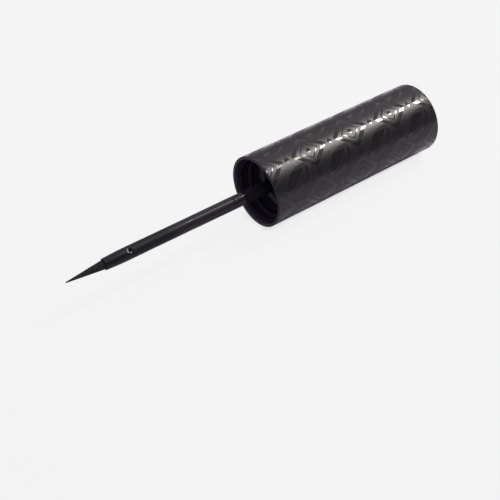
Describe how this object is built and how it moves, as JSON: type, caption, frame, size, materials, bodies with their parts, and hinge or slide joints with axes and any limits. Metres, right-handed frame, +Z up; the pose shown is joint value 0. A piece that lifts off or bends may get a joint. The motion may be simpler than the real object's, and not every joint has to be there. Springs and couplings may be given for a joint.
{
  "type": "liquid eyeliner applicator cap",
  "caption": "Round screw cap for a slim liquid eyeliner bottle, with a thin stem that ends in a fine pointed brush.",
  "frame": {"origin": "on the ground, below the middle of the applicator as it lies on its side", "axes": "+X along the axis from the brush's point to the closed end, +Z up; the stem's staking pit is 32 degrees from the top, towards -Y"},
  "size_m": [0.0918, 0.016, 0.016],
  "materials": {
    "shell": "satin gunmetal lacquer with a gloss black tone-on-tone print",
    "liner": "black moulded plastic",
    "seal": "soft grey washer",
    "stem": "glossy black moulded plastic",
    "brush_root": "fused and glued fibre",
    "bristles": "fine tapered fibre, damp with liner"
  },
  "bodies": {
    "applicator": {"outer_shell": "shell", "inner_cap": "liner", "sealing_ring": "seal", "stem": "stem", "root_plug": "brush_root"},
    "brush_tip": {"bristle_tuft": "bristles"}
  },
  "joints": [
    {"name": "brush_flex", "type": "hinge", "parent": "applicator", "child": "brush_tip", "pos_m": [-0.03765, 0, 0.00799], "axis": [0, 1, 0], "range_deg": [-20, 20], "stiffness_Nm_per_rad": 0.0002}
  ]
}
